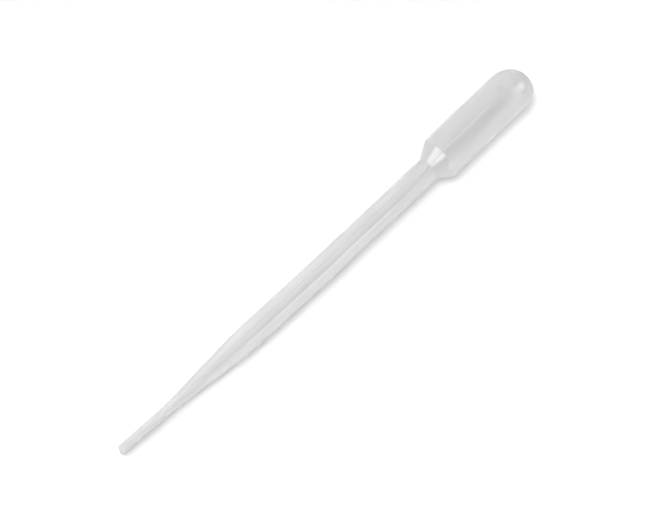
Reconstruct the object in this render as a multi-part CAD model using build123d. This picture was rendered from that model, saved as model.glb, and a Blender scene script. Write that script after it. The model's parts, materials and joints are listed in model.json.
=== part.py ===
from build123d import *
import os
from math import asin, atan2, cos, degrees, hypot, radians, sin, tan

# A one-piece transfer pipette, blow moulded from a soft plastic tube: a fine open tip, a taper, a long
# straight stem, and a round-ended squeeze bulb. It lies on a table as it comes to rest.
# Millimetres, degrees. Local X runs along the pipette's own axis, from the tip's mouth to the bulb's end.

# --- lengths along the axis, from the tip's mouth -------------------------------------------------
overall_length = 155.0
tip_length = 18.4            # straight fine tip, up to where the taper would begin with no fillet
taper_length = 27.4          # from there to where the stem would begin with no fillet
bulb_length = 37.5           # neck corner to the bulb's end
shoulder_slope = 33.0        # angle of the shoulder cone to the axis

# --- outside diameters ----------------------------------------------------------------------------
tip_diameter = 2.65
stem_diameter = 7.25
bulb_diameter = 12.9         # at the shoulder
bulb_narrowing = 0.4         # how much less it is at the dome, as draft in the mould

# --- walls ----------------------------------------------------------------------------------------
tip_wall = 0.45
stem_wall = 0.45
bulb_wall = 0.40
dome_wall = 0.60             # thicker where the tube was pinched and welded shut
hollow_offset = 0.10         # the hollow lies this far off the outside's axis, towards +Y, so the other side
                             # is the thicker and heavier, and the pipette rests against its lower ridge
mouth_overrun = 1.0          # the bore is cut this far past the mouth, so that it opens cleanly

# --- rounding -------------------------------------------------------------------------------------
lip_rounding = 0.20          # outside edge of the tip's mouth
taper_foot_rounding = 57.0   # tip into taper
taper_head_rounding = 70.0   # taper into stem
neck_rounding = 3.0          # stem into shoulder
shoulder_rounding = 4.0      # shoulder into bulb
dome_flat_radius = 0.30      # small flat at the bulb's very end

# --- parting line of the two mould halves -----------------------------------------------------------
ridge_height = 0.06
ridge_width = 0.25           # measured across the ridge
ridge_turn = 8.0             # their plane is turned this far from upright about the axis, top towards +Y

# --- the slight bow that the moulding took as it cooled: three gentle bends, all to the same side ----
tip_bend = 0.8
tip_bend_length = 5.0
stem_bend = 1.4
stem_bend_length = 8.0
neck_bend = 0.7
neck_bend_length = 6.0
straight_lead = 1.0          # straight run kept between a bend and the next rounding

# --- sizes that follow from those above ---------------------------------------------------------------
tip_radius = tip_diameter / 2
stem_radius = stem_diameter / 2
bulb_radius = bulb_diameter / 2
bulb_end_radius = (bulb_diameter - bulb_narrowing) / 2
taper_slope = degrees(atan2(stem_radius - tip_radius, taper_length))
shoulder_length = (bulb_radius - stem_radius) / tan(radians(shoulder_slope))
taper_foot_run = taper_foot_rounding * tan(radians(taper_slope / 2))
taper_head_run = taper_head_rounding * tan(radians(taper_slope / 2))
neck_run = neck_rounding * tan(radians(shoulder_slope / 2))
shoulder_run = shoulder_rounding * tan(radians(shoulder_slope / 2))

taper_lead = straight_lead + taper_foot_run
taper_piece = taper_lead + taper_length + taper_head_run + straight_lead
head_lead = straight_lead + neck_run
head_piece = head_lead + bulb_length
tip_straight = tip_length - taper_lead - tip_bend_length
stem_straight = (overall_length - tip_straight - tip_bend_length - taper_piece
                 - stem_bend_length - neck_bend_length - head_piece)


def bend_radius(angle, length):
    """Radius of an axis that turns through an angle in a length."""
    return length / radians(angle)


def section(radius, ridged):
    """Cross-section of a round run, in the local YZ plane, with its two parting ridges if it has them."""
    disc = Circle(radius)
    if ridged:
        blade = Rectangle(2 * (radius + ridge_height), ridge_width)
        disc += Rot(0, 0, 90 - ridge_turn) * blade
    return Plane.YZ * disc


def straight_run(radius, length, ridged):
    """Round run of one radius along local X."""
    return extrude(section(radius, ridged), amount=length, dir=(1, 0, 0))


def bent_run(radius, angle, length, ridged):
    """Round run of one radius whose axis turns towards local +Y."""
    pivot = Axis((0, bend_radius(angle, length), 0), (0, 0, 1))
    return revolve(section(radius, ridged), pivot, angle)


def after_straight(length):
    """Place of the far end of a straight run, from its near end."""
    return Pos(length, 0, 0)


def after_bend(angle, length):
    """Place of the far end of a bent run, from its near end."""
    turn = radians(angle)
    radius = bend_radius(angle, length)
    return Pos(radius * sin(turn), radius * (1 - cos(turn)), 0) * Rot(0, 0, angle)


def rounded(corners, roundings):
    """Half outline through the corners, with each inner one rounded, closed along the axis."""
    profile = FilletPolyline(*corners, radius=roundings)
    start, end = corners[0], corners[-1]
    return make_face([profile, Polyline(end, (end[0], 0), (start[0], 0), start)])


def taper_outline(foot_radius, head_radius):
    """Half outline of the tapered piece between the tip run and the stem."""
    foot = taper_lead
    head = taper_lead + taper_length
    corners = [(0, foot_radius), (foot, foot_radius), (head, head_radius), (taper_piece, head_radius)]
    return rounded(corners, [taper_foot_rounding, taper_head_rounding])


def head_outline(wall, bulb_inset, end_inset, extra):
    """Half outline of the neck, shoulder and bulb, moved inwards by the walls or outwards by extra."""
    lean = tan(radians(shoulder_slope / 2))
    neck = (head_lead + (wall - extra) * lean, stem_radius - wall + extra)
    shoulder = (head_lead + shoulder_length + (bulb_inset - extra) * lean, bulb_radius - bulb_inset + extra)
    end = (head_piece - end_inset + extra, bulb_end_radius - bulb_inset + extra)
    corners = [(0, neck[1]), neck, shoulder, end, (end[0], dome_flat_radius / 2)]
    roundings = [
        neck_rounding + wall - extra,
        shoulder_rounding - bulb_inset + extra,
        end[1] - dome_flat_radius,
    ]
    return rounded(corners, roundings)


def turned(outline):
    """Solid turned from a half outline about the axis."""
    return revolve(outline, Axis.X, 360)


def blades(outline):
    """Two thin plates of a half outline, one each side of the axis, that stand out as parting ridges."""
    plate = extrude(outline, amount=ridge_width / 2, both=True)
    upper = Rot(90 - ridge_turn, 0, 0) * plate
    return upper + Rot(180, 0, 0) * upper


def tip_run():
    """Straight part of the fine tip, with its mouth's outside edge rounded."""
    run = straight_run(tip_radius, tip_straight, False)
    mouth = run.edges().filter_by(GeomType.CIRCLE).sort_by(Axis.X)[0]
    run = fillet(mouth, lip_rounding)
    ridged = straight_run(tip_radius, tip_straight - lip_rounding, True)
    return run + Pos(lip_rounding, 0, 0) * ridged


def outer_pieces():
    """Outside of each run, in order from the tip's mouth."""
    taper = taper_outline(tip_radius, stem_radius)
    ridge_taper = taper_outline(tip_radius + ridge_height, stem_radius + ridge_height)
    return [
        tip_run(),
        bent_run(tip_radius, tip_bend, tip_bend_length, True),
        turned(taper) + blades(ridge_taper),
        bent_run(stem_radius, stem_bend, stem_bend_length, True),
        straight_run(stem_radius, stem_straight, True),
        bent_run(stem_radius, neck_bend, neck_bend_length, True),
        turned(head_outline(0, 0, 0, 0)) + blades(head_outline(0, 0, 0, ridge_height)),
    ]


def inner_pieces():
    """Hollow of each run, in the same order."""
    bore = tip_radius - tip_wall
    hollow = stem_radius - stem_wall
    taper = taper_outline(bore, hollow)
    return [
        Pos(-mouth_overrun, 0, 0) * straight_run(bore, tip_straight + mouth_overrun, False),
        bent_run(bore, tip_bend, tip_bend_length, False),
        turned(taper),
        bent_run(hollow, stem_bend, stem_bend_length, False),
        straight_run(hollow, stem_straight, False),
        bent_run(hollow, neck_bend, neck_bend_length, False),
        turned(head_outline(stem_wall, bulb_wall, dome_wall, 0)),
    ]


def run_places():
    """Place of the near end of each run. The long straight stem lies along X, at Y 0."""
    steps = [
        after_straight(tip_straight),
        after_bend(tip_bend, tip_bend_length),
        after_straight(taper_piece),
        after_bend(stem_bend, stem_bend_length),
        after_straight(stem_straight),
        after_bend(neck_bend, neck_bend_length),
    ]
    places = [Rot(0, 0, -tip_bend - stem_bend)]
    for step in steps:
        places.append(places[-1] * step)
    return places


def joined(pieces, places):
    """One solid of all the runs, each at its place."""
    whole = places[0] * pieces[0]
    for piece, place in zip(pieces[1:], places[1:]):
        whole += place * piece
    return whole


def resting_tilt():
    """Angle by which the stem's end and the shoulder, both on the table, tip the axis up to the bulb.

    The table is the common tangent of the two rounded corners that stand out furthest.
    """
    stem_end = tip_length + taper_length + taper_head_run
    shoulder_start = overall_length - bulb_length + shoulder_length + shoulder_run
    run = shoulder_start - stem_end
    rise = (bulb_radius - shoulder_rounding) - (stem_radius - taper_head_rounding)
    between = hypot(run, rise)
    return degrees(atan2(rise, run)) + degrees(asin((shoulder_rounding - taper_head_rounding) / between))


places = run_places()
off_axis = Pos(0, hollow_offset, 0)
shell = joined(outer_pieces(), places) - off_axis * joined(inner_pieces(), places)

# Lay it down: tip the axis, then stand the lowest point on Z 0 with the middle of its box over the origin.
tilt = Rot(0, -resting_tilt(), 0)
box = (tilt * shell).bounding_box()
rest = Pos(-(box.min.X + box.max.X) / 2, -(box.min.Y + box.max.Y) / 2, -box.min.Z) * tilt
pipette = rest * shell

os.makedirs("parts", exist_ok=True)
export_step(pipette, "parts/pipette.step")

tip_place = rest * places[0]
bore_place = rest * off_axis * places[0]
stem_place = rest * places[4]
print("tilt", round(resting_tilt(), 4), "volume mm3", round(pipette.volume, 2))
for name, place, length in (("tip run", tip_place, tip_straight), ("tip bore", bore_place, tip_straight),
                            ("stem run", stem_place, stem_straight)):
    print(name, place.position, place.orientation, "length", round(length, 3))
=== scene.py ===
"""Looks of a one-piece plastic transfer pipette, lying at rest on a pale table.

The moulded tube is one closed skin. Its generating line starts on the axis at the bulb's end, runs down
the outside to the tip's mouth, turns over the lip and goes back up the hollow to the axis. That line is
carried round the pipette's gently bowed axis as one grid, so the two walls, the parting ridges and the
long lines along the tube are all in the mesh. Each point also keeps by how much the plastic is lighter
or darker there, which paints in some highlights and shade as well as the plastic's own tone.
"""

from __future__ import annotations

import json
import logging
import math
from dataclasses import dataclass
from enum import Enum

import bpy
import numpy as np
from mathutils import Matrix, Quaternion, Vector

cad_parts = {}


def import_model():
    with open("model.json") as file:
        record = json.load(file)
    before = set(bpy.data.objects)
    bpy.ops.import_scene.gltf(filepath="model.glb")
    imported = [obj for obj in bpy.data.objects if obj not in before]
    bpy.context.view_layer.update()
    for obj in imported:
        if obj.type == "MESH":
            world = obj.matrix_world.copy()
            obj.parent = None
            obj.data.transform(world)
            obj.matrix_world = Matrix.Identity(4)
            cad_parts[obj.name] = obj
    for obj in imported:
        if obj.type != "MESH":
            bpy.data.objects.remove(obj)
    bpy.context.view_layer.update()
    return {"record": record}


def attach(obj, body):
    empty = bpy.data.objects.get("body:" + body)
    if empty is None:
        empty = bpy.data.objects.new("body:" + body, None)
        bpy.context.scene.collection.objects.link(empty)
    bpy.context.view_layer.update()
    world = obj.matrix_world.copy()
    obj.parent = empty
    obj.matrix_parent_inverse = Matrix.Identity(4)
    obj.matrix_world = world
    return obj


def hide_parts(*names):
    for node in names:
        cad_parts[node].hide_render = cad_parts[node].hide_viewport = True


LOG = logging.getLogger("pipette")
MM = 0.001  # a millimetre, in metres
ARC_STEP = 0.5  # degrees between close points of an arc
STRETCH_STEP = 0.25  # millimetres between close points of a straight stretch

Tree = bpy.types.NodeTree
Socket = bpy.types.NodeSocket
Range = tuple[float, float]  # where a smooth step starts and ends
Course = tuple[tuple[float, float], ...]  # pairs of a distance from the mouth and a value there


class Side(Enum):
    """Which face of the wall a station of the generating line is on."""

    OUTSIDE = 0.0
    HOLLOW = 1.0


# -------------------- Sizes --------------------


@dataclass(frozen=True)
class Sizes:
    """Sizes of the moulded tube, in millimetres and degrees, the same as the construction's."""

    tip_radius: float
    bore_radius: float
    stem_radius: float
    tip_straight: float
    stem_straight: float
    overall: float = 155.0
    tip_length: float = 18.4
    taper_length: float = 27.4
    bulb_length: float = 37.5
    bulb_radius: float = 6.45
    bulb_end_radius: float = 6.25
    shoulder_slope: float = 33.0
    stem_wall: float = 0.45
    bulb_wall: float = 0.40
    dome_wall: float = 0.60
    hollow_offset: float = 0.10
    lip_rounding: float = 0.20
    taper_foot_rounding: float = 57.0
    taper_head_rounding: float = 70.0
    neck_rounding: float = 3.0
    shoulder_rounding: float = 4.0
    tip_bend: float = 0.8
    tip_bend_length: float = 5.0
    stem_bend: float = 1.4
    stem_bend_length: float = 8.0
    neck_bend: float = 0.7
    neck_bend_length: float = 6.0
    straight_lead: float = 1.0

    @classmethod
    def from_record(cls, record: dict) -> Sizes:
        """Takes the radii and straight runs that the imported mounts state.

        Args:
            record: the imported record.

        Returns:
            The sizes, with the rest at their own values.
        """
        dims = {mount["name"]: mount["dims"] for mount in record["mounts"]}
        return cls(
            tip_radius=dims["tip_outside"]["r_mm"],
            bore_radius=dims["tip_bore"]["r_mm"],
            stem_radius=dims["stem_outside"]["r_mm"],
            tip_straight=dims["tip_bore"]["length_mm"],
            stem_straight=dims["stem_outside"]["length_mm"],
        )

    @property
    def taper_end(self) -> float:
        """Distance from the mouth to where the stem begins."""
        return self.tip_length + self.taper_length

    @property
    def neck(self) -> float:
        """Distance from the mouth to the corner where the shoulder begins."""
        return self.overall - self.bulb_length

    @property
    def shoulder_length(self) -> float:
        """Length of the shoulder cone along the axis."""
        return (self.bulb_radius - self.stem_radius) / math.tan(math.radians(self.shoulder_slope))


# -------------------- The axis --------------------


@dataclass(frozen=True)
class Axis:
    """The pipette's bowed axis: straight runs and gentle bends in one plane, which the pipette rests in.

    It is walked in short steps, from an overrun before the mouth to as far past the bulb's end.
    """

    sizes: Sizes
    middle: np.ndarray
    along: np.ndarray
    step: float = 0.05
    overrun: float = 2.0

    @classmethod
    def from_record(cls, record: dict, sizes: Sizes) -> Axis:
        """Lays the axis through the middle of the stem's straight run, which is a mount.

        Args:
            record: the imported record.
            sizes: sizes of the tube.

        Returns:
            The axis, in the shared frame.
        """
        stem = next(mount for mount in record["mounts"] if mount["name"] == "stem_outside")
        along = -np.array(stem["axis"])
        return cls(sizes, np.array(stem["pos_m"]) / MM, along / np.linalg.norm(along))

    def _headings(self) -> tuple[np.ndarray, np.ndarray]:
        """Knots of the heading: it is level on straight runs and changes evenly along a bend.

        Returns:
            Distances from the mouth, and the heading at each in radians, nought on the stem.
        """
        size = self.sizes
        tip_end = size.tip_straight + size.tip_bend_length
        stem_start, stem_end = self._stem_ends()
        knots = [
            (0.0, -size.tip_bend - size.stem_bend),
            (size.tip_straight, -size.tip_bend - size.stem_bend),
            (tip_end, -size.stem_bend),
            (stem_start - size.stem_bend_length, -size.stem_bend),
            (stem_start, 0.0),
            (stem_end, 0.0),
            (stem_end + size.neck_bend_length, size.neck_bend),
            (size.overall, size.neck_bend),
        ]
        places, degrees = np.array(knots).T
        return places, np.radians(degrees)

    def _stem_ends(self) -> tuple[float, float]:
        """Both ends of the stem's straight run.

        It ends before the neck's corner by the neck's rounding, a straight lead and the neck's bend. The
        rounding takes its radius times the tangent of half the shoulder's slope.

        Returns:
            Their distances from the mouth.
        """
        size = self.sizes
        lead = size.straight_lead + size.neck_rounding * math.tan(math.radians(size.shoulder_slope / 2))
        end = size.neck - lead - size.neck_bend_length
        return end - size.stem_straight, end

    def frame_at(self, distance: np.ndarray) -> tuple[np.ndarray, np.ndarray, np.ndarray]:
        """Place, sideways and upward directions of the axis.

        The heading's cosine and sine are summed from the mouth in short steps, and the sums are read
        between steps, so that a point's place is the path walked up to it.

        Args:
            distance: distances from the mouth along the axis, as an array.

        Returns:
            Places, sideways directions and upward directions, each with one row a distance.
        """
        places, headings = self._headings()
        walk = np.arange(-self.overrun, self.sizes.overall + self.overrun, self.step)
        turn = np.interp(walk, places, headings)
        forth = np.concatenate([[0.0], np.cumsum(np.cos((turn[1:] + turn[:-1]) / 2))]) * self.step
        aside = np.concatenate([[0.0], np.cumsum(np.sin((turn[1:] + turn[:-1]) / 2))]) * self.step
        middle = sum(self._stem_ends()) / 2
        forth -= np.interp(middle, walk, forth)
        aside -= np.interp(middle, walk, aside)
        left = np.array([0.0, 1.0, 0.0])
        up = np.cross(self.along, left)
        heading = np.interp(distance, places, headings)[:, None]
        centre = (
            self.middle
            + np.interp(distance, walk, forth)[:, None] * self.along
            + np.interp(distance, walk, aside)[:, None] * left
        )
        sideways = np.cos(heading) * left - np.sin(heading) * self.along
        return centre, sideways, np.repeat(up[None, :], len(distance), axis=0)


# -------------------- The generating line --------------------


def rounded_line(corners: list[tuple[float, float]], roundings: list[float]) -> np.ndarray:
    """Close points along straight stretches whose inner corners are rounded by arcs.

    Each arc touches both stretches, at the rounding's radius times the tangent of half the turn from the
    corner. Its points lie at even angles from the first touching point to the second.

    Args:
        corners: corners of the line, as (distance along the axis, radius).
        roundings: radius of the arc at each inner corner.

    Returns:
        The points, one a row.
    """
    corner = np.array(corners, float)
    pieces: list[np.ndarray] = []
    last = corner[0]
    for before, here, after, radius in zip(corner[:-2], corner[1:-1], corner[2:], roundings):
        into = (here - before) / np.linalg.norm(here - before)
        out = (after - here) / np.linalg.norm(after - here)
        turn = math.atan2(into[0] * out[1] - into[1] * out[0], float(into @ out))
        start = here - into * radius * math.tan(abs(turn) / 2)
        normal = np.array([-into[1], into[0]]) * math.copysign(1.0, turn)
        count = math.ceil(math.degrees(abs(turn)) / ARC_STEP)
        angle = np.linspace(0.0, abs(turn), count + 1)[:, None]
        arc = start + radius * (np.sin(angle) * into + (1 - np.cos(angle)) * normal)
        pieces.append(stretch(last, start)[:-1])
        pieces.append(arc[:-1])
        last = arc[-1]
    pieces.append(stretch(last, corner[-1]))
    return np.concatenate(pieces)


def stretch(start: np.ndarray, end: np.ndarray) -> np.ndarray:
    """Even points on a straight stretch, both ends included.

    Args:
        start: first point.
        end: last point.

    Returns:
        The points, one a row.
    """
    count = max(1, math.ceil(float(np.linalg.norm(end - start)) / STRETCH_STEP))
    share = np.linspace(0.0, 1.0, count + 1)[:, None]
    return start + share * (end - start)


def shared_out(need: np.ndarray, closed: bool = False) -> np.ndarray:
    """Where to cut a row of steps so that each part holds the same need.

    The needs are summed along the row, and the sum is cut into a whole number of equal parts of about one.

    Args:
        need: how many cuts each step of the row needs.
        closed: whether the row ends where it began, so that its last cut is left out.

    Returns:
        The cuts, counted in steps from the row's start.
    """
    total = np.concatenate([[0.0], np.cumsum(need)])
    count = math.ceil(total[-1])
    marks = np.linspace(0.0, total[-1], count + 1)
    cuts = np.interp(marks, total, np.arange(len(total)))
    return cuts[:-1] if closed else cuts


@dataclass(frozen=True)
class Shoulder:
    """The shoulder's shape on one side of the tube, in degrees and millimetres.

    It ends later than the even one by its own amount, or earlier where that is below nought.
    """

    slope: float
    neck_rounding: float
    shoulder_rounding: float
    later: float = 0.0


@dataclass(frozen=True)
class WallLine:
    """The line that the skin is generated from, on both faces of the wall, and how close its stations are.

    Steps are in millimetres, and the turn's in degrees. The close stations at the shoulder begin before
    the neck's corner and end after the shoulder's.
    """

    sizes: Sizes
    straight_step: float = 1.4
    shoulder_step: float = 0.25
    turn_step: float = 3.4
    hollow_coarser: float = 1.9
    close_before: float = 2.0
    close_after: float = 2.5
    lip_points: int = 6
    bore_bevel: float = 0.05
    least_rounding: float = 0.5
    dome_flat_radius: float = 0.25
    pole_radius: float = 0.012

    def even_shoulder(self) -> Shoulder:
        """The shoulder as constructed, the same all round."""
        size = self.sizes
        return Shoulder(size.shoulder_slope, size.neck_rounding, size.shoulder_rounding)

    def outline(self, side: Side, shoulder: Shoulder) -> np.ndarray:
        """One face from the mouth to the bulb's end, the hollow's corners moved in by the walls.

        Every shoulder is placed by its end, so a gentle one begins nearer the mouth.

        Args:
            side: which face.
            shoulder: the shoulder's shape.

        Returns:
            Close points as (distance along the axis, radius).
        """
        size = self.sizes
        inside = side is Side.HOLLOW
        stem_in = size.stem_wall if inside else 0.0
        bulb_in = size.bulb_wall if inside else 0.0
        end_in = size.dome_wall if inside else 0.0
        start = self.bore_bevel if inside else size.lip_rounding
        lean = math.tan(math.radians(shoulder.slope / 2))
        run = (size.bulb_radius - size.stem_radius) / math.tan(math.radians(shoulder.slope))
        shoulder_end = size.neck + size.shoulder_length + shoulder.later
        tip_radius = size.bore_radius if inside else size.tip_radius
        end_radius = size.bulb_end_radius - bulb_in
        corners = [
            (start, tip_radius),
            (size.tip_length, tip_radius),
            (size.taper_end, size.stem_radius - stem_in),
            (shoulder_end - run + stem_in * lean, size.stem_radius - stem_in),
            (shoulder_end + bulb_in * lean, size.bulb_radius - bulb_in),
            (size.overall - end_in, end_radius),
            (size.overall - end_in, self.pole_radius),
        ]
        roundings = [
            size.taper_foot_rounding,
            size.taper_head_rounding,
            shoulder.neck_rounding + stem_in,
            max(shoulder.shoulder_rounding - bulb_in, self.least_rounding),
            end_radius - self.dome_flat_radius,
        ]
        return rounded_line(corners, roundings)

    def spaced(self, line: np.ndarray, coarser: float) -> np.ndarray:
        """Fewer points of a line: close where it turns and at the shoulder, and far apart elsewhere.

        Args:
            line: close points.
            coarser: how many times further apart they may be than on the outside.

        Returns:
            The points kept.
        """
        legs = np.diff(line, axis=0)
        length = np.hypot(legs[:, 0], legs[:, 1])
        heading = np.degrees(np.unwrap(np.arctan2(legs[:, 1], legs[:, 0])))
        turn = np.abs(np.diff(heading, prepend=heading[0]))
        first = self.sizes.neck - self.close_before
        last = self.sizes.neck + self.sizes.shoulder_length + self.close_after
        at_shoulder = (line[1:, 0] > first) & (line[1:, 0] < last)
        need = length / self.straight_step + turn / self.turn_step
        need = need + at_shoulder * length / self.shoulder_step
        cuts = shared_out(need / coarser)
        row = np.arange(len(line))
        return np.stack([np.interp(cuts, row, line[:, 0]), np.interp(cuts, row, line[:, 1])], axis=1)

    def lip(self) -> np.ndarray:
        """Lip at the mouth: a quarter arc off the outside face, then a flat ring to the bore's bevel.

        Returns:
            Points as (distance along the axis, radius).
        """
        size = self.sizes
        angle = np.radians(np.linspace(0.0, 90.0, self.lip_points + 1)[1:])
        arc = np.stack(
            [
                size.lip_rounding * (1 - np.sin(angle)),
                size.tip_radius - size.lip_rounding * (1 - np.cos(angle)),
            ],
            axis=1,
        )
        ring = np.array([[0.0, size.bore_radius + self.bore_bevel]])
        return np.concatenate([arc, ring])

    def stations(self) -> tuple[np.ndarray, np.ndarray]:
        """The whole line, from the bulb's end over the lip to the hollow's end.

        Returns:
            Points as (distance along the axis, radius), and how far each is on the hollow's side.
        """
        even = self.even_shoulder()
        outside = self.spaced(self.outline(Side.OUTSIDE, even), 1.0)[::-1]
        hollow = self.spaced(self.outline(Side.HOLLOW, even), self.hollow_coarser)
        lip = self.lip()
        points = np.concatenate([outside, lip, hollow])
        over = np.linspace(Side.OUTSIDE.value, Side.HOLLOW.value, len(lip))
        side = np.concatenate(
            [np.full(len(outside), Side.OUTSIDE.value), over, np.full(len(hollow), Side.HOLLOW.value)]
        )
        return points, side

    def change(self, distance: np.ndarray, side: np.ndarray, shoulder: Shoulder) -> np.ndarray:
        """How much larger the radius is with another shoulder than with the even one.

        Args:
            distance: distances from the mouth.
            side: nought outside and one in the hollow, one a distance.
            shoulder: the other shoulder.

        Returns:
            The difference at each distance.
        """
        radii = []
        for shape in (shoulder, self.even_shoulder()):
            faces = [self.outline(face, shape) for face in (Side.OUTSIDE, Side.HOLLOW)]
            outer, inner = (np.interp(distance, face[:, 0], face[:, 1]) for face in faces)
            radii.append(outer * (1 - side) + inner * side)
        return (radii[0] - radii[1]) * (distance < self.sizes.overall - self.sizes.bulb_radius)


# -------------------- Relief --------------------


def bump(value: np.ndarray, at: float, reach: float) -> np.ndarray:
    """A bell shape: one at its middle, and e to the minus one at its reach to either side."""
    return np.exp(-(((value - at) / reach) ** 2))


def ease(value: np.ndarray, start: float, end: float) -> np.ndarray:
    """A smooth step from nought at start to one at end: three squares less two cubes of the share."""
    share = np.clip((value - start) / (end - start), 0.0, 1.0)
    return share * share * (3 - 2 * share)


def folded(angle: np.ndarray, period: float) -> np.ndarray:
    """An angle less whole periods, so that it lies within half a period of nought."""
    return (angle + period / 2) % period - period / 2


def read_course(course: Course, distance: np.ndarray) -> np.ndarray:
    """A course's value at each distance, on straight lines between its pairs."""
    places, values = np.array(course).T
    return np.interp(distance, places, values)


@dataclass(frozen=True)
class Lattice:
    """The skin's points on the tube's plain outline, one row a station and one column a turn.

    Distance is from the mouth and radius is the outline's, in millimetres. Side is nought outside and one
    in the hollow. Turn is the angle from straight up towards +Y, in degrees.
    """

    distance: np.ndarray
    radius: np.ndarray
    side: np.ndarray
    turn: np.ndarray


@dataclass(frozen=True)
class Swell:
    """A place along the tube where it is a little wider or lies a little to one side, in millimetres."""

    at: float
    reach: float
    wider: float
    aside: float


@dataclass(frozen=True)
class LineOrShadeBand:
    """A long line or faint band along the tube, at one place round it. Some faint bands are painted shade.

    Its turn is from straight up towards +Y. Its height is of the hollow's face, and its tone says by what
    share the plastic is lighter or darker along it. One with no height is tone alone.
    """

    turn: float
    width: float
    height: float
    tone: float
    start: float
    end: float
    fade: float = 8.0

    def strength(self, points: Lattice) -> np.ndarray:
        """How strongly it shows: a bell shape across it, eased in and out at its ends.

        Args:
            points: the skin's points.

        Returns:
            Its strength at each point, from nought to one.
        """
        offset = np.radians(folded(points.turn - self.turn, 360.0)) * points.radius
        ends = ease(points.distance, self.start, self.start + self.fade)
        ends = ends * (1 - ease(points.distance, self.end - self.fade, self.end))
        return bump(offset, 0.0, self.width / 2) * ends


@dataclass(frozen=True)
class Spot:
    """A small lighter or darker spot: where along and round the tube, how wide, and its tone.
    Some are marks in the plastic, and some are a painted highlight, painted light or painted shade.

    One with a ring's radius follows that ring about its place instead of filling it. It is whole towards
    one bearing and fades out over a range of degrees to either side. A spot shows on the upper side only,
    and is eased in over a range of the turn's cosine.
    """

    at: float
    turn: float
    reach: float
    tone: float
    ring: float = 0.0
    towards: float = 0.0
    ring_fade: Range = (40.0, 75.0)
    upper_fade: Range = (0.0, 0.2)

    def strength(self, points: Lattice, full: float) -> np.ndarray:
        """How strongly it shows: a bell shape of how far off its middle or its ring a point lies.

        Both are measured level, as seen from above, with the cloud's own turn read on a full radius.

        Args:
            points: the skin's points.
            full: the full radius.

        Returns:
            Its strength at each point, from nought to one.
        """
        forward = points.distance - self.at
        aside = points.radius * np.sin(np.radians(points.turn)) - full * math.sin(math.radians(self.turn))
        shape = bump(np.hypot(forward, aside), self.ring, self.reach)
        shape = shape * ease(np.cos(np.radians(points.turn)), *self.upper_fade)
        if self.ring:
            off = np.degrees(np.arctan2(aside, forward)) - self.towards
            shape = shape * (1 - ease(np.abs(off), *self.ring_fade))
        return shape


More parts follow.
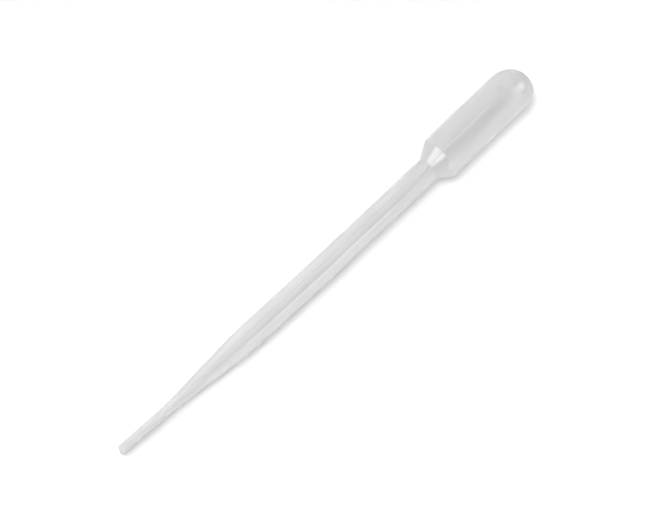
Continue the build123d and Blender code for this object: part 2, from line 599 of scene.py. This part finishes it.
@dataclass(frozen=True)
class Relief:
    """What stands out from the tube's plain outline, and what lightens or darkens it.

    Lengths and places are in millimetres, turns in degrees, and tones are shares. The ridge rises over a
    range of distances from the mouth, sinks by its drop over each of two more, and dies out over a range
    of radii at the bulb's end. Each side's shoulder takes over from the next one's over a range of the
    turn's sine, and the three from the even one over a range of its cosine.
    """

    ridge_height: float = 0.05
    ridge_half_width: float = 0.275
    ridge_rise: Range = (0.25, 1.2)
    ridge_drop: float = 0.45
    ridge_drops: tuple[Range, ...] = ((119.0, 124.0), (143.0, 150.0))
    ridge_pole: Range = (0.3, 1.2)
    ridge_turns: Course = (
        (0.0, 8.0),
        (118.0, 8.0),
        (123.0, 5.9),
        (137.0, 6.3),
        (148.0, 8.4),
        (155.0, 8.4),
    )
    # Tones along the parting ridge are painted light: a painted highlight where the ridge's sides catch the
    # light on the stem and bulb, and a darker line, painted shade, across the shoulder's highlight.
    ridge_tones: Course = (
        (0.0, 0.0),
        (45.0, 0.03),
        (116.0, 0.03),
        (117.0, -0.10),
        (123.0, -0.10),
        (124.0, 0.11),
        (139.0, 0.11),
        (148.0, 0.0),
    )
    ridge_tone_width: float = 0.65
    # The wider opposite band beside the ridge is painted shade beside its painted highlight, and painted
    # light beside its darker line.
    beside_ridge: float = -0.3
    beside_wider: float = 3.0
    # Darker towards the bulb: painted shade, for the shaded table that shows through the bulb's thinner
    # wall.
    body_tones: Course = (
        (0.0, -0.02),
        (45.0, 0.01),
        (85.0, -0.005),
        (110.0, -0.045),
        (122.0, -0.085),
        (155.0, -0.085),
    )
    left_shoulder: Shoulder = Shoulder(slope=31.0, neck_rounding=3.0, shoulder_rounding=4.0, later=0.4)
    top_shoulder: Shoulder = Shoulder(slope=29.4, neck_rounding=0.5, shoulder_rounding=1.1, later=1.3)
    right_shoulder: Shoulder = Shoulder(slope=34.5, neck_rounding=1.6, shoulder_rounding=2.0, later=-0.2)
    left_blend: Range = (0.60, 1.0)
    right_blend: Range = (0.30, 0.85)
    upper_blend: Range = (-0.2, 0.3)
    mouth_slant: float = 0.42
    slant_reach: float = 1.5
    swells: tuple[Swell, ...] = (
        Swell(at=27.0, reach=12.0, wider=0.09, aside=-0.10),
        Swell(at=55.5, reach=6.5, wider=0.08, aside=0.07),
        Swell(at=79.5, reach=5.5, wider=0.05, aside=-0.10),
        Swell(at=89.0, reach=5.0, wider=-0.07, aside=0.03),
        Swell(at=101.0, reach=6.0, wider=-0.05, aside=0.03),
        Swell(at=113.0, reach=5.0, wider=-0.03, aside=0.07),
    )
    bulb_aside: float = 0.17
    bulb_shift: Range = (117.0, 126.0)
    dome_aside: float = -0.55
    dome_shift: Range = (146.0, 156.0)
    lines: tuple[LineOrShadeBand, ...] = (
        LineOrShadeBand(turn=-22.5, width=0.45, height=0.045, tone=0.24, start=46.0, end=106.0),
        LineOrShadeBand(turn=-10.5, width=0.60, height=-0.035, tone=-0.09, start=31.0, end=114.0),
        LineOrShadeBand(turn=15.0, width=0.40, height=-0.030, tone=-0.08, start=22.0, end=114.0),
        # Painted shade: a darker band down the bulb's middle.
        LineOrShadeBand(turn=-12.0, width=3.8, height=0.0, tone=-0.035, start=120.0, end=149.0),
        LineOrShadeBand(turn=-26.0, width=0.85, height=0.0, tone=-0.11, start=15.0, end=43.0),
        # Painted shade: a darker band on the tip's upper flank, the side towards the key lamp.
        LineOrShadeBand(turn=55.0, width=1.3, height=0.0, tone=-0.08, start=-8.0, end=46.0),
        LineOrShadeBand(turn=-35.0, width=1.5, height=0.0, tone=-0.055, start=90.0, end=116.0),
        # Painted shade: a darker band on the stem's upper flank, the side towards the key lamp.
        LineOrShadeBand(turn=42.0, width=2.4, height=0.0, tone=-0.035, start=50.0, end=104.0),
    )
    spots: tuple[Spot, ...] = (
        # Painted light: a lighter patch on the shoulder's upper side.
        Spot(at=118.6, turn=38.0, reach=2.6, tone=0.05),
        Spot(at=146.6, turn=22.0, reach=0.7, tone=-0.07),
        Spot(at=148.0, turn=26.0, reach=0.8, tone=0.03),
        # Painted highlight: a bright blob on the dome.
        Spot(at=149.5, turn=-10.0, reach=1.15, tone=0.25),
        # Painted shade: a dark arc on the dome, following a ring.
        Spot(at=150.35, turn=2.8, reach=0.30, tone=-0.10, ring=3.1, towards=-40.0),
    )

    def off_ridge(self, points: Lattice) -> np.ndarray:
        """How far round the tube each point lies from the nearer parting ridge, in millimetres."""
        ridge_turn = read_course(self.ridge_turns, points.distance)
        return np.radians(folded(points.turn - ridge_turn, 180.0)) * points.radius

    def ridge(self, points: Lattice) -> np.ndarray:
        """The parting ridges on the outside.

        A ridge is a rounded hump: its height times the square of the cosine of how far across it a point
        lies, as a quarter turn at its edge.

        Args:
            points: the skin's points.

        Returns:
            The height at each point, in millimetres.
        """
        share = np.clip(np.abs(self.off_ridge(points)) / self.ridge_half_width, 0.0, 1.0)
        lasting = ease(points.distance, *self.ridge_rise) * ease(points.radius, *self.ridge_pole)
        dropped = sum(ease(points.distance, *drop) for drop in self.ridge_drops)
        lasting = lasting * (1 - self.ridge_drop * dropped)
        return self.ridge_height * np.cos(share * math.pi / 2) ** 2 * lasting * (1 - points.side)

    def tones(self, points: Lattice, full: float) -> np.ndarray:
        """By what share the plastic is lighter or darker.

        The body's tone is summed with the ridge's, the lines' and the spots'; many of these are painted
        highlights, light or shade. The ridge's is a bell shape across it, with a wider and opposite one
        beside it.

        Args:
            points: the skin's points.
            full: the radius that the clouds' turns are read on.

        Returns:
            The share at each point.
        """
        across, reach = self.off_ridge(points), self.ridge_tone_width / 2
        ridge = bump(across, 0.0, reach) + self.beside_ridge * bump(across, 0.0, reach * self.beside_wider)
        tone = read_course(self.ridge_tones, points.distance) * ridge
        tone = tone + read_course(self.body_tones, points.distance)
        for line in self.lines:
            tone = tone + line.tone * line.strength(points)
        for spot in self.spots:
            tone = tone + spot.tone * spot.strength(points, full)
        return tone

    def unevenness(self, distance: np.ndarray) -> tuple[np.ndarray, np.ndarray]:
        """Drift to the side and widening of the tube, as sums of bell shapes and two smooth steps.

        Args:
            distance: distance from the mouth.

        Returns:
            Drift and widening of the radius, in millimetres.
        """
        aside = self.bulb_aside * ease(distance, *self.bulb_shift)
        aside = aside + self.dome_aside * ease(distance, *self.dome_shift)
        wider = np.zeros_like(distance)
        for swell in self.swells:
            shape = bump(distance, swell.at, swell.reach)
            aside = aside + swell.aside * shape
            wider = wider + swell.wider * shape
        return aside, wider


# -------------------- The skin --------------------


@dataclass
class PipetteSkin:
    """The pipette's whole skin, both faces of the wall, as one closed mesh.

    Columns are a column step of degrees apart, and closer by their own steps between the outermost lines and
    bands, at the ridges and at both sides, each with its margin in degrees. They are shared out by fine
    steps.
    """

    sizes: Sizes
    axis: Axis
    relief: Relief = Relief()
    fine_step: float = 0.1
    column_step: float = 2.3
    marked_step: float = 1.1
    marked_margin: float = 6.0
    ridge_step: float = 0.7
    ridge_margin: float = 4.0
    side_step: float = 1.2
    side_margin: float = 10.0
    least_radius: float = 1.0
    name: str = "pipette_skin"

    def columns(self) -> np.ndarray:
        """Angles round the tube, close together where a ridge or the long lines and bands run and at both
        sides.

        Returns:
            Angles in degrees from straight up towards +Y, rising, in one turn.
        """
        fine = self.fine_step
        angle = np.arange(0.0, 360.0, fine)
        turns = [line.turn for line in self.relief.lines]
        signed = folded(angle, 360.0)
        marked = (signed > min(turns) - self.marked_margin) & (signed < max(turns) + self.marked_margin)
        ridge_turns = [turn for _, turn in self.relief.ridge_turns]
        off_ridge = np.abs(folded(angle - sum(ridge_turns) / len(ridge_turns), 180.0))
        at_ridge = off_ridge < self.ridge_margin
        at_side = np.abs(np.abs(signed) - 90.0) < self.side_margin
        need = fine / self.column_step + marked * fine / self.marked_step
        need = need + at_ridge * fine / self.ridge_step + at_side * fine / self.side_step
        return shared_out(need, closed=True) * fine

    def raised(self, points: Lattice) -> np.ndarray:
        """How far the skin stands out from its plain outline: the ridges, the shoulder and the marks.

        The shoulder passes smoothly from one side's shape to the next, and keeps its even shape underneath.

        Args:
            points: the skin's points.

        Returns:
            The height at each point, in millimetres.
        """
        relief = self.relief
        wall = WallLine(self.sizes)
        height = relief.ridge(points)
        leftwards, upwards = np.sin(np.radians(points.turn)), np.cos(np.radians(points.turn))
        left, right = ease(leftwards, *relief.left_blend), ease(-leftwards, *relief.right_blend)
        top = (1 - left - right) * ease(upwards, *relief.upper_blend)
        sides = ((left, relief.left_shoulder), (top, relief.top_shoulder), (right, relief.right_shoulder))
        for share, shoulder in sides:
            height = height + share * wall.change(points.distance, points.side, shoulder)
        for line in relief.lines:
            height = height + line.height * points.side * line.strength(points)
        return height

    def grid(self) -> tuple[np.ndarray, np.ndarray, np.ndarray]:
        """Every point of the skin.

        A point is the axis's place, plus the radius times the sine of its turn sideways, plus the radius
        times its cosine upwards. Sideways it also takes the tube's slight drift and widening there, and at
        the mouth it moves along the axis where the cut slants.

        Returns:
            Points as (station, column, xyz) in metres, (cosine, sine, distance) of each for the finish's
            patterns, drawn in where the tube is finer than the stem, and the tone of each.
        """
        line, side = WallLine(self.sizes).stations()
        points = Lattice(line[:, :1], line[:, 1:], side[:, None], self.columns()[None, :])
        full = points.radius + self.raised(points)
        sine, cosine = np.sin(np.radians(points.turn)), np.cos(np.radians(points.turn))
        aside, wider = self.relief.unevenness(points.distance)
        widening = 1 + wider / np.maximum(points.radius, self.least_radius)
        across = full * sine * widening + (self.sizes.hollow_offset * points.side + aside)
        slant = self.relief.mouth_slant * sine * (1 - ease(points.distance, 0.0, self.relief.slant_reach))
        centre, sideways, up = self.axis.frame_at(line[:, 0])
        forward = np.cross(sideways, up)
        place = centre[:, None, :] + across[..., None] * sideways[:, None, :]
        place = place + (full * cosine)[..., None] * up[:, None, :] + slant[..., None] * forward[:, None, :]
        spread = np.minimum(points.radius / self.sizes.stem_radius, 1.0)
        distance = np.broadcast_to(points.distance, across.shape)
        around = np.stack([cosine * spread, sine * spread, distance], axis=2)
        return place * MM, around, self.relief.tones(points, self.sizes.bulb_end_radius)

    def build(self) -> bpy.types.Object:
        """Builds the skin as quads between stations and columns, with a fan of triangles at each pole.

        Returns:
            The mesh object, at the origin.
        """
        place, around, tone = self.grid()
        stations, columns = place.shape[:2]
        index = np.arange(stations * columns).reshape(stations, columns)
        after = np.roll(index, -1, axis=1)
        quads = np.stack([index[:-1], after[:-1], after[1:], index[1:]], axis=2).reshape(-1, 4)
        first, last = stations * columns, stations * columns + 1
        poles = np.array([place[0].mean(0), place[-1].mean(0)])
        start_fan = np.stack([np.full(columns, first), after[0], index[0]], axis=1)
        end_fan = np.stack([np.full(columns, last), index[-1], after[-1]], axis=1)
        vertices = np.concatenate([place.reshape(-1, 3), poles])
        mesh = bpy.data.meshes.new(self.name)
        fill_mesh(mesh, vertices, [quads, start_fan, end_fan])
        pole_around = np.array([[0.0, 0.0, around[0, 0, 2]], [0.0, 0.0, around[-1, 0, 2]]])
        pattern = mesh.attributes.new("around", "FLOAT_VECTOR", "POINT")
        pattern.data.foreach_set("vector", np.concatenate([around.reshape(-1, 3), pole_around]).ravel())
        # The tone attribute holds painted highlights and shade as well as the plastic's own tone.
        shade = mesh.attributes.new("tone", "FLOAT", "POINT")
        shade.data.foreach_set("value", np.concatenate([tone.ravel(), [0.0, 0.0]]))
        return in_scene(self.name, mesh)

    def place_in_frame(self, piece: bpy.types.Object, finish: MilkyPlastic) -> None:
        """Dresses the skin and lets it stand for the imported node.

        Args:
            piece: the built skin.
            finish: its finish.
        """
        piece.data.materials.append(finish.material())
        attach(piece, "root")
        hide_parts("pipette")


def fill_mesh(mesh: bpy.types.Mesh, vertices: np.ndarray, faces: list[np.ndarray]) -> None:
    """Puts whole arrays of points and faces into a mesh, shaded smooth.

    Args:
        mesh: an empty mesh.
        vertices: points, one a row.
        faces: arrays of corner numbers, each with one face a row.
    """
    corners = np.concatenate([group.ravel() for group in faces])
    totals = np.concatenate([np.full(len(group), group.shape[1]) for group in faces])
    mesh.vertices.add(len(vertices))
    mesh.vertices.foreach_set("co", vertices.astype(np.float32).ravel())
    mesh.loops.add(len(corners))
    mesh.loops.foreach_set("vertex_index", corners.astype(np.int32))
    mesh.polygons.add(len(totals))
    starts = np.concatenate([[0], np.cumsum(totals)[:-1]])
    mesh.polygons.foreach_set("loop_start", starts.astype(np.int32))
    mesh.update(calc_edges=True)
    mesh.validate()
    mesh.polygons.foreach_set("use_smooth", np.ones(len(totals), bool))
    mesh.update()


def in_scene(name: str, data: bpy.types.ID) -> bpy.types.Object:
    """Makes an object and links it to the scene.

    Args:
        name: the object's name.
        data: its mesh, lamp or camera.

    Returns:
        The object, at the origin.
    """
    piece = bpy.data.objects.new(name, data)
    bpy.context.scene.collection.objects.link(piece)
    return piece


# -------------------- Values in node trees --------------------


def new_nodes(tree: Tree, *kinds: str) -> list[bpy.types.Node]:
    """New shader nodes of some kinds, one of each, in order."""
    return [tree.nodes.new(f"ShaderNode{kind}") for kind in kinds]


class Joining(Enum):
    """How two values in a node tree are joined into one."""

    ADD = "ADD"
    MULTIPLY = "MULTIPLY"
    MAXIMUM = "MAXIMUM"


def joined(tree: Tree, way: Joining, first: Socket, second: Socket | float) -> Socket:
    """Joins a value with another one or with a number.

    Args:
        tree: node tree to build in.
        way: how they are joined.
        first: the value.
        second: the other value, or the number.

    Returns:
        The socket that holds the result.
    """
    (node,) = new_nodes(tree, "Math")
    node.operation = way.value
    tree.links.new(first, node.inputs[0])
    if isinstance(second, float):
        node.inputs[1].default_value = second
    else:
        tree.links.new(second, node.inputs[1])
    return node.outputs[0]


def scaled(tree: Tree, value: Socket, by: float) -> Socket:
    """A value times a number."""
    return joined(tree, Joining.MULTIPLY, value, by)


def shifted(tree: Tree, value: Socket, by: float) -> Socket:
    """A value plus a number."""
    return joined(tree, Joining.ADD, value, by)


def stepped(tree: Tree, value: Socket, ends: Range, levels: tuple[float, float]) -> Socket:
    """A smooth step of a value from one level to another.

    Args:
        tree: node tree to build in.
        value: the value.
        ends: where the step starts and ends.
        levels: the result before the step and after it.

    Returns:
        The socket that holds the result.
    """
    (node,) = new_nodes(tree, "MapRange")
    node.interpolation_type = "SMOOTHSTEP"
    tree.links.new(value, node.inputs["Value"])
    node.inputs["From Min"].default_value, node.inputs["From Max"].default_value = ends
    node.inputs["To Min"].default_value, node.inputs["To Max"].default_value = levels
    return node.outputs["Result"]


# -------------------- Finishes --------------------


@dataclass(frozen=True)
class Pattern:
    """A fine uneven pattern in the plastic, in waves a radian round the tube and a millimetre along it.

    Its depth is how much it changes the colour or the roughness.
    """

    round_waves: float
    along_waves: float
    detail: float
    depth: float


@dataclass(frozen=True)
class MilkyPlastic:
    """Soft polyethylene, half clear and half milky, with the mould's half gloss.

    Its tone varies with the skin's tones, which include painted highlights and shade, with long faint
    streaks and with soft clouds, and its gloss and its fine relief vary with the same streaks and a small
    grain. How far the milk spreads light and how deep the relief is are in metres, and the dimming is for
    each metre.
    """

    colour: tuple[float, float, float] = (0.90, 0.90, 0.901)
    clearness: float = 0.5
    milkiness: float = 1.0
    milk_tint: tuple[float, float, float] = (1.0, 1.0, 1.0)
    milk_reach: float = 0.0004
    roughness: float = 0.10
    bending: float = 1.51
    dimming: float = 60.0
    dimming_tint: tuple[float, float, float] = (0.50, 0.50, 0.51)
    streaks: Pattern = Pattern(round_waves=5.0, along_waves=0.02, detail=3.0, depth=0.05)
    clouds: Pattern = Pattern(round_waves=1.6, along_waves=0.12, detail=2.0, depth=0.03)
    grain: Pattern = Pattern(round_waves=6.0, along_waves=1.6, detail=2.0, depth=0.06)
    relief_depth: float = 0.000006

    def material(self) -> bpy.types.Material:
        """Builds the material: a clear and milky shell, with a faint even dimming inside the wall.

        The dimming is absorption, whose density is the dimming over what its tint takes away.

        Returns:
            The material.
        """
        material = bpy.data.materials.new("milky_plastic")
        material.use_nodes = True
        tree = material.node_tree
        shader = tree.nodes["Principled BSDF"]
        shader.inputs["Transmission Weight"].default_value = self.clearness
        shader.inputs["Subsurface Weight"].default_value = self.milkiness
        shader.inputs["Subsurface Radius"].default_value = self.milk_tint
        shader.inputs["Subsurface Scale"].default_value = self.milk_reach
        shader.inputs["IOR"].default_value = self.bending
        streaks, clouds, grain = (self.noise(tree, p) for p in (self.streaks, self.clouds, self.grain))
        tree.links.new(self.tinted(tree, streaks, clouds), shader.inputs["Base Color"])
        fine = joined(tree, Joining.ADD, streaks, grain)
        rough = shifted(tree, scaled(tree, fine, self.grain.depth), self.roughness)
        tree.links.new(rough, shader.inputs["Roughness"])
        relief, inside = new_nodes(tree, "Bump", "VolumeAbsorption")
        relief.inputs["Distance"].default_value = self.relief_depth
        tree.links.new(fine, relief.inputs["Height"])
        tree.links.new(relief.outputs[0], shader.inputs["Normal"])
        inside.inputs["Color"].default_value = (*self.dimming_tint, 1.0)
        inside.inputs["Density"].default_value = self.dimming / (1 - self.dimming_tint[0])
        tree.links.new(inside.outputs[0], tree.nodes["Material Output"].inputs["Volume"])
        return material

    def noise(self, tree: Tree, pattern: Pattern) -> Socket:
        """A pattern that follows the tube, as noise read at (cosine, sine, distance along).

        Args:
            tree: the material's node tree.
            pattern: the pattern.

        Returns:
            The socket that holds it, from minus a half to a half.
        """
        place, spread, noise = new_nodes(tree, "Attribute", "Mapping", "TexNoise")
        place.attribute_name = "around"
        waves = (pattern.round_waves, pattern.round_waves, pattern.along_waves)
        spread.inputs["Scale"].default_value = waves
        noise.inputs["Scale"].default_value = 1.0
        noise.inputs["Detail"].default_value = pattern.detail
        tree.links.new(place.outputs["Vector"], spread.inputs["Vector"])
        tree.links.new(spread.outputs["Vector"], noise.inputs["Vector"])
        return shifted(tree, noise.outputs["Fac"], -0.5)

    def tinted(self, tree: Tree, streaks: Socket, clouds: Socket) -> Socket:
        """The plastic's colour, scaled by one plus the skin's tone (partly painted highlights and shade),
        the streaks and the clouds.

        Args:
            tree: the material's node tree.
            streaks: the streaks' pattern.
            clouds: the clouds' pattern.

        Returns:
            The socket that holds the colour.
        """
        tone, colour = new_nodes(tree, "Attribute", "VectorMath")
        # The skin's tone, partly painted highlights and painted shade.
        tone.attribute_name = "tone"
        streaky, cloudy = scaled(tree, streaks, self.streaks.depth), scaled(tree, clouds, self.clouds.depth)
        uneven = joined(tree, Joining.ADD, streaky, cloudy)
        share = shifted(tree, joined(tree, Joining.ADD, tone.outputs["Fac"], uneven), 1.0)
        colour.operation = "SCALE"
        colour.inputs[0].default_value = self.colour
        tree.links.new(share, colour.inputs["Scale"])
        return colour.outputs[0]


# -------------------- Studio --------------------

# Along X, in metres: where each key lamp hands over to the next.
TIP_TO_STEM = (-0.066, -0.048)
STEM_TO_BULB = (-0.015, 0.065)


class Role(Enum):
    """What a lamp is for: to light the object, or to be seen in its gloss."""

    LIGHT = "light"
    MIRRORED = "mirrored"


@dataclass(frozen=True)
class SoftBox:
    """A flat lamp that faces the object.

    It is at a bearing round the object and an angle down from overhead, in degrees. Its size is its width
    and height in metres, its level is its brightness, and its roll turns it about its own beam. It may be
    held to a stretch of the table along X, which begins and ends over ranges in metres.
    """

    name: str
    at: tuple[float, float]
    size: tuple[float, float]
    level: float
    role: Role = Role.LIGHT
    away: float = 2.0
    shadows: bool = True
    roll: float = 0.0
    begins: Range | None = None
    ends: Range | None = None

    def build(self) -> None:
        """Builds the lamp. Its power is its level times its area times pi."""
        bearing, down = (math.radians(angle) for angle in self.at)
        width, height = self.size
        direction = (math.sin(down) * math.cos(bearing), math.sin(down) * math.sin(bearing), math.cos(down))
        place = self.away * Vector(direction)
        lamp = bpy.data.lights.new(self.name, "AREA")
        lamp.shape = "RECTANGLE"
        lamp.size, lamp.size_y = width, height
        lamp.energy = self.level * width * height * math.pi
        lamp.use_shadow = self.shadows
        if self.begins or self.ends:
            self.flag(lamp)
        piece = in_scene(self.name, lamp)
        piece.location = place
        facing = place.to_track_quat("Z", "Y") @ Quaternion((0.0, 0.0, 1.0), math.radians(self.roll))
        piece.rotation_euler = facing.to_euler()
        piece.visible_camera = False
        piece.visible_diffuse = self.role is Role.LIGHT
        piece.visible_glossy = self.role is Role.MIRRORED
        piece.visible_transmission = self.role is Role.MIRRORED

    def flag(self, lamp: bpy.types.AreaLight) -> None:
        """Holds the lamp off all but its own stretch of the table along X.

        A lit point is the lamp's point plus the ray from it, and the strength is a smooth step of its X at
        each end that the stretch has.

        Args:
            lamp: the lamp.
        """
        lamp.use_nodes = True
        tree = lamp.node_tree
        place, path, lit, split = new_nodes(tree, "NewGeometry", "LightPath", "VectorMath", "SeparateXYZ")
        lit.operation = "MULTIPLY_ADD"
        tree.links.new(place.outputs["Incoming"], lit.inputs[0])
        tree.links.new(path.outputs["Ray Length"], lit.inputs[1])
        tree.links.new(place.outputs["Position"], lit.inputs[2])
        tree.links.new(lit.outputs[0], split.inputs[0])
        ends = ((self.begins, (0.0, 1.0)), (self.ends, (1.0, 0.0)))
        steps = [stepped(tree, split.outputs["X"], end, levels) for end, levels in ends if end]
        strength = steps[0] if len(steps) == 1 else joined(tree, Joining.MULTIPLY, *steps)
        tree.links.new(strength, tree.nodes["Emission"].inputs["Strength"])


@dataclass(frozen=True)
class Sky:
    """Light of the white room: dim overhead, where the camera's rail runs, and dimmer near the floor.

    The dim part is a band. Its two long sides and its bright end are smooth steps of a ray's parts along Y
    and X, and the low part of the walls is one of its part along Z. The walls look brighter in a glossy
    surface than the light they give. To the camera they are plain white.
    """

    mirrored_more: float = 0.9
    shown: float = 1.0
    dim_level: float = 0.05
    near_side: Range = (-0.72, -0.66)
    far_side: Range = (0.10, 0.60)
    end_side: Range = (0.30, 0.65)
    end_level: float = 0.70
    low_level: float = 0.6
    low_reach: Range = (0.0, 0.6)

    def brightness_socket(self, tree: Tree) -> Socket:
        """Its brightness, from how far to the side a ray points and how steeply it rises.

        Args:
            tree: the world's node tree.

        Returns:
            The socket that holds it.
        """
        place, split, path = new_nodes(tree, "TexCoord", "SeparateXYZ", "LightPath")
        tree.links.new(place.outputs["Generated"], split.inputs[0])
        near = stepped(tree, split.outputs["Y"], self.near_side, (1.0, self.dim_level))
        far = stepped(tree, split.outputs["Y"], self.far_side, (self.dim_level, 1.0))
        high = stepped(tree, split.outputs["Z"], self.low_reach, (0.0, 1.0))
        end = stepped(tree, split.outputs["X"], self.end_side, (self.dim_level, self.end_level))
        band = joined(tree, Joining.MAXIMUM, joined(tree, Joining.MAXIMUM, near, far), end)
        over = shifted(tree, band, -self.low_level)
        beside = shifted(tree, joined(tree, Joining.MULTIPLY, over, high), self.low_level)
        more = shifted(tree, scaled(tree, path.outputs["Is Glossy Ray"], self.mirrored_more), 1.0)
        return joined(tree, Joining.MULTIPLY, beside, more)

    def build(self) -> None:
        """Builds the world's light."""
        world = bpy.data.worlds.new("studio")
        world.use_nodes = True
        tree = world.node_tree
        tree.nodes.clear()
        output, back, path, level = new_nodes(tree, "OutputWorld", "Background", "LightPath", "Mix")
        level.data_type = "FLOAT"
        tree.links.new(path.outputs["Is Camera Ray"], level.inputs[0])
        tree.links.new(self.brightness_socket(tree), level.inputs[2])
        level.inputs[3].default_value = self.shown
        tree.links.new(level.outputs[0], back.inputs["Strength"])
        tree.links.new(back.outputs[0], output.inputs["Surface"])
        bpy.context.scene.world = world


@dataclass(frozen=True)
class Floor:
    """The pale table, as one flat square sheet at the height the pipette rests on.

    Its lift is what it adds for the camera alone, and its mirrored level is what a gloss shows of it.
    """

    half: float = 2.0
    colour: tuple[float, float, float] = (0.70, 0.70, 0.70)
    lift: float = 0.235
    mirrored: float = 1.25

    def build(self) -> None:
        """Builds the sheet and dresses it."""
        half = self.half
        mesh = bpy.data.meshes.new("floor")
        corners = np.array([[-half, -half, 0.0], [half, -half, 0.0], [half, half, 0.0], [-half, half, 0.0]])
        fill_mesh(mesh, corners, [np.array([[0, 1, 2, 3]])])
        floor = in_scene("floor", mesh)
        mesh.materials.append(self.material())

    def material(self) -> bpy.types.Material:
        """A matt white, a little lifted for the camera, and plain white in a gloss or through a clear wall.

        Returns:
            The material.
        """
        material = bpy.data.materials.new("floor_white")
        material.use_nodes = True
        tree = material.node_tree
        tree.nodes.clear()
        output, matt, lift, glow = new_nodes(tree, "OutputMaterial", "BsdfDiffuse", "Emission", "Emission")
        path, added, chosen = new_nodes(tree, "LightPath", "AddShader", "MixShader")
        matt.inputs["Color"].default_value = (*self.colour, 1.0)
        tree.links.new(scaled(tree, path.outputs["Is Camera Ray"], self.lift), lift.inputs["Strength"])
        glow.inputs["Strength"].default_value = self.mirrored
        tree.links.new(matt.outputs[0], added.inputs[0])
        tree.links.new(lift.outputs[0], added.inputs[1])
        glossy, through = path.outputs["Is Glossy Ray"], path.outputs["Is Transmission Ray"]
        tree.links.new(joined(tree, Joining.MAXIMUM, glossy, through), chosen.inputs[0])
        tree.links.new(added.outputs[0], chosen.inputs[1])
        tree.links.new(glow.outputs[0], chosen.inputs[2])
        tree.links.new(chosen.outputs[0], output.inputs["Surface"])
        return material


@dataclass(frozen=True)
class OverheadCamera:
    """A camera that looks straight down, turned so that the pipette lies across the picture.

    Its view's width is taken at a plane just over the table. Places are in metres, the lens and the sensor
    in millimetres, and the bearing in degrees.
    """

    view_width: float = 0.1850
    view_plane: float = 0.005
    lens: float = 85.0
    sensor: float = 36.0
    reach: float = 10.0
    bearing: float = -43.03
    aim: tuple[float, float] = (0.00180, -0.00062)

    def build(self) -> None:
        """Builds the camera, at the view's width times the lens over the sensor above that plane."""
        camera = bpy.data.cameras.new("camera")
        camera.lens = self.lens
        camera.sensor_width = self.sensor
        camera.clip_end = self.reach
        piece = in_scene("camera", camera)
        piece.location = (*self.aim, self.view_width * self.lens / self.sensor + self.view_plane)
        piece.rotation_euler = (0.0, 0.0, math.radians(self.bearing))
        bpy.context.scene.camera = piece
        bpy.context.scene.view_settings.view_transform = "Standard"


@dataclass(frozen=True)
class Studio:
    """A pale table, soft light and a camera overhead."""

    floor: Floor = Floor()
    sky: Sky = Sky()
    boxes: tuple[SoftBox, ...] = (
        SoftBox("key_tip", at=(90.0, 28.0), size=(1.4, 1.4), level=6.3, ends=TIP_TO_STEM),
        SoftBox("key", at=(90.0, 16.0), size=(0.8, 0.8), level=14.7, begins=TIP_TO_STEM, ends=STEM_TO_BULB),
        SoftBox("key_bulb", at=(90.0, 10.5), size=(0.62, 0.62), level=24.5, begins=STEM_TO_BULB),
        SoftBox("fill", at=(-90.0, 76.0), size=(1.2, 1.2), level=3.8, shadows=False),
        SoftBox("window", at=(162.8, 66.0), size=(2.14, 0.90), level=5.6, role=Role.MIRRORED, roll=25.4),
        SoftBox("pane", at=(181.8, 60.0), size=(0.95, 0.90), level=1.0, role=Role.MIRRORED, roll=25.4),
        SoftBox("far_wall", at=(116.0, 88.0), size=(1.10, 0.90), level=1.2, role=Role.MIRRORED),
        SoftBox("side_wall", at=(-124.0, 64.0), size=(1.10, 1.00), level=1.0, role=Role.MIRRORED),
        SoftBox("end_strip", at=(-17.0, 50.0), size=(1.36, 0.50), level=3.6, role=Role.MIRRORED, roll=-51.9),
    )
    camera: OverheadCamera = OverheadCamera()

    def build(self) -> None:
        """Builds the floor, the light and the camera."""
        for part in (self.floor, self.sky, *self.boxes, self.camera):
            part.build()


# -------------------- The whole --------------------


def main() -> None:
    """Builds the pipette and its studio."""
    logging.basicConfig(level=logging.INFO, format="%(message)s")
    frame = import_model()
    record = frame["record"]
    sizes = Sizes.from_record(record)
    skin = PipetteSkin(sizes, Axis.from_record(record, sizes))
    piece = skin.build()
    skin.place_in_frame(piece, MilkyPlastic())
    LOG.info("%s: %d points, %d faces", piece.name, len(piece.data.vertices), len(piece.data.polygons))
    Studio().build()


if __name__ == "__main__":
    main()
